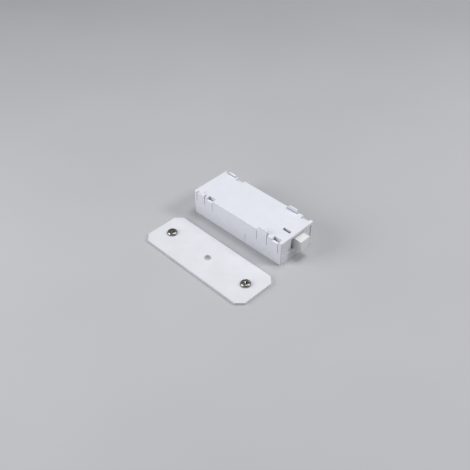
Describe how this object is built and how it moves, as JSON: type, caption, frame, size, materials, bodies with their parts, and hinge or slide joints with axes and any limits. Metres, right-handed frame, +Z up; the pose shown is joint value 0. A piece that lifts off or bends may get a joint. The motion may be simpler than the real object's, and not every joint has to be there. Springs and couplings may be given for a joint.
{
  "type": "door contact sensor",
  "caption": "Snap-in wireless door contact sensor with a sprung end plunger, plus its flat screw-fixed strike plate.",
  "frame": {"origin": "centre of the housing's underside", "axes": "+X along the housing towards the plunger, +Y away from the strike plate, +Z up out of the lid"},
  "size_m": [0.0752, 0.0639, 0.0179],
  "materials": {
    "shell_plastic": "fine satin moulded",
    "plunger_plastic": "satin moulded, slightly warmer",
    "plate_coating": "white powder coat",
    "plate_screw_metal": "nickel plated",
    "screw_metal": "zinc plated",
    "spring_steel": "drawn wire",
    "contact_metal": "nickel plated strip",
    "copper_wire": "enamelled copper",
    "board_laminate": "green solder mask",
    "switch_plastic": "black moulded",
    "button_plastic": "red moulded",
    "chip_plastic": "black epoxy",
    "capacitor_can": "dark sleeve",
    "cell_sleeve": "printed-free film sleeve",
    "foam": "closed cell foam",
    "led_lens": "clear epoxy"
  },
  "bodies": {
    "housing": {"housing_tray": "shell_plastic", "circuit_board": "board_laminate", "board_screws": "screw_metal", "microswitch_case": "switch_plastic", "microswitch_pins": "contact_metal", "lever_pin": "spring_steel", "battery_cell": "cell_sleeve", "battery_cap": "contact_metal", "battery_negative_plate": "contact_metal", "battery_negative_spring": "spring_steel", "battery_positive_plate": "contact_metal", "radio_chip": "chip_plastic", "radio_crystal": "contact_metal", "storage_capacitor": "capacitor_can", "antenna_coil": "copper_wire", "status_led": "led_lens", "pairing_switch_base": "switch_plastic", "chip_resistors": "chip_plastic", "plunger_spring": "spring_steel"},
    "lid": {"top_lid": "shell_plastic", "battery_pad": "foam"},
    "plunger": {"plunger": "plunger_plastic"},
    "switch_lever": {"microswitch_lever": "contact_metal"},
    "switch_button": {"microswitch_button": "button_plastic"},
    "pairing_button": {"pairing_switch_cap": "button_plastic"},
    "strike": {"strike_plate": "plate_coating", "plate_screws": "plate_screw_metal"}
  },
  "joints": [
    {"name": "plunger_slide", "type": "slide", "parent": "housing", "child": "plunger", "axis": [-1, 0, 0], "range_m": [0, 0.0035], "stiffness_N_per_m": 200, "springref_m": -0.002, "deforming": ["plunger_spring"]},
    {"name": "lever_swing", "type": "hinge", "parent": "housing", "child": "switch_lever", "pos_m": [0.02545, 0.0106, 0.0068], "axis": [0, 0, -1], "range_deg": [0, 28.2]},
    {"name": "button_press", "type": "slide", "parent": "housing", "child": "switch_button", "axis": [-1, 0, 0], "range_m": [0, 0.00065]},
    {"name": "pairing_press", "type": "slide", "parent": "housing", "child": "pairing_button", "axis": [0, 0, -1], "range_m": [0, 0.0003], "stiffness_N_per_m": 400, "springref_m": -0.0005},
    {"name": "lid_lift", "type": "slide", "parent": "housing", "child": "lid", "axis": [0, 0, 1], "range_m": [0, 0.03]},
    {"name": "strike_slide", "type": "slide", "parent": "housing", "child": "strike", "axis": [0, -1, 0], "range_m": [0, 0.06]}
  ],
  "couplings": [
    {"joint": "lever_swing", "follows": "plunger_slide", "rad_per_m": 140.6},
    {"joint": "button_press", "follows": "plunger_slide", "ratio": 0.1857}
  ]
}
